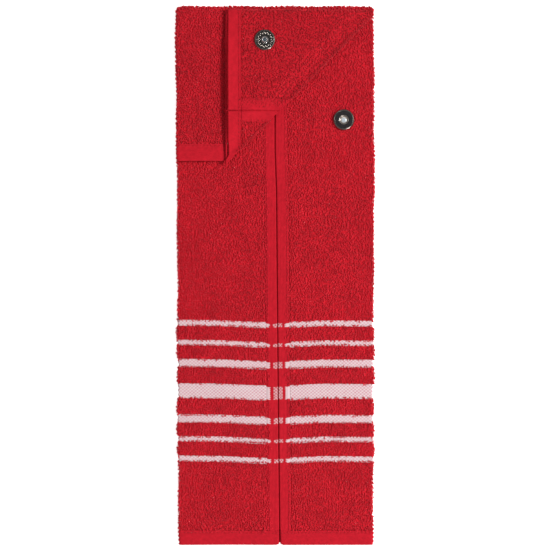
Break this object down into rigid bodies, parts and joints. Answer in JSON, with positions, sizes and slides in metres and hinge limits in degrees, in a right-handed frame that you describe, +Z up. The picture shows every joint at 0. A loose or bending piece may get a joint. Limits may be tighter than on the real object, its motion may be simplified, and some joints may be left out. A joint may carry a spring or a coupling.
{
  "type": "golf towel",
  "caption": "Folded terry golf towel with white woven stripes, a top flap that opens and a folded corner that closes on the front with a magnetic snap.",
  "frame": {"origin": "under the middle of the folded towel, on the surface that it lies on", "axes": "+Z up through the layers of cloth, +Y along the towel's length towards the top fold, +X to the right across its width, seen from above"},
  "size_m": [0.172, 0.47, 0.0182],
  "materials": {
    "terry_red": "cotton terry, dense looped pile on both faces",
    "hem_red": "flat woven cotton hem, turned and stitched",
    "stripe_white": "flat woven white stripe with pinkish weave dots",
    "thread_red": "red polyester sewing thread",
    "snap_nickel": "polished nickel plate",
    "snap_gunmetal": "dark gunmetal plate, satin",
    "snap_black": "black lacquered magnet cover",
    "washer_steel": "plain steel"
  },
  "bodies": {
    "column": {"back_panel": "terry_red", "front_panel_left": "terry_red", "front_panel_right": "terry_red", "side_hem_left": "hem_red", "side_hem_right": "hem_red", "bottom_hem_back": "hem_red", "bottom_hem_left": "hem_red", "bottom_hem_right": "hem_red", "stripes_back": "stripe_white", "stripes_left": "stripe_white", "stripes_right": "stripe_white", "top_fold": "terry_red", "side_hem_stitching": "thread_red", "bottom_hem_stitching": "thread_red", "snap_socket_rim": "snap_nickel", "snap_socket_magnet": "snap_black", "snap_socket_plate": "snap_nickel", "snap_socket_washer": "washer_steel"},
    "flap": {"flap_outer_sheet": "terry_red", "flap_inner_sheet_left": "terry_red", "flap_inner_sheet_right": "terry_red", "flap_side_hem_left": "hem_red", "flap_side_hem_right": "hem_red", "flap_end_hem_outer": "hem_red", "flap_end_hem_inner": "hem_red", "flap_hem_stitching": "thread_red", "corner_fold": "terry_red"},
    "corner": {"corner_outer_sheet": "terry_red", "corner_inner_sheet_left": "terry_red", "corner_inner_sheet_right": "terry_red", "corner_side_hem_left": "hem_red", "corner_side_hem_right": "hem_red", "corner_end_hem_outer": "hem_red", "corner_end_hem_left": "hem_red", "corner_end_hem_right": "hem_red", "corner_hem_stitching": "thread_red", "snap_stud_cap": "snap_gunmetal", "snap_stud_post": "snap_nickel", "snap_stud_plate": "washer_steel", "snap_stud_washer": "washer_steel"}
  },
  "joints": [
    {"name": "flap_fold", "type": "hinge", "parent": "column", "child": "flap", "pos_m": [0, 0.23005, 0.00495], "axis": [-1, 0, 0], "range_deg": [0, 170], "deforming": ["top_fold"]},
    {"name": "corner_fold_back", "type": "hinge", "parent": "flap", "child": "corner", "pos_m": [0, 0.145, 0.01005], "axis": [0.7071, 0.7071, 0], "range_deg": [0, 176], "deforming": ["corner_fold"]}
  ]
}
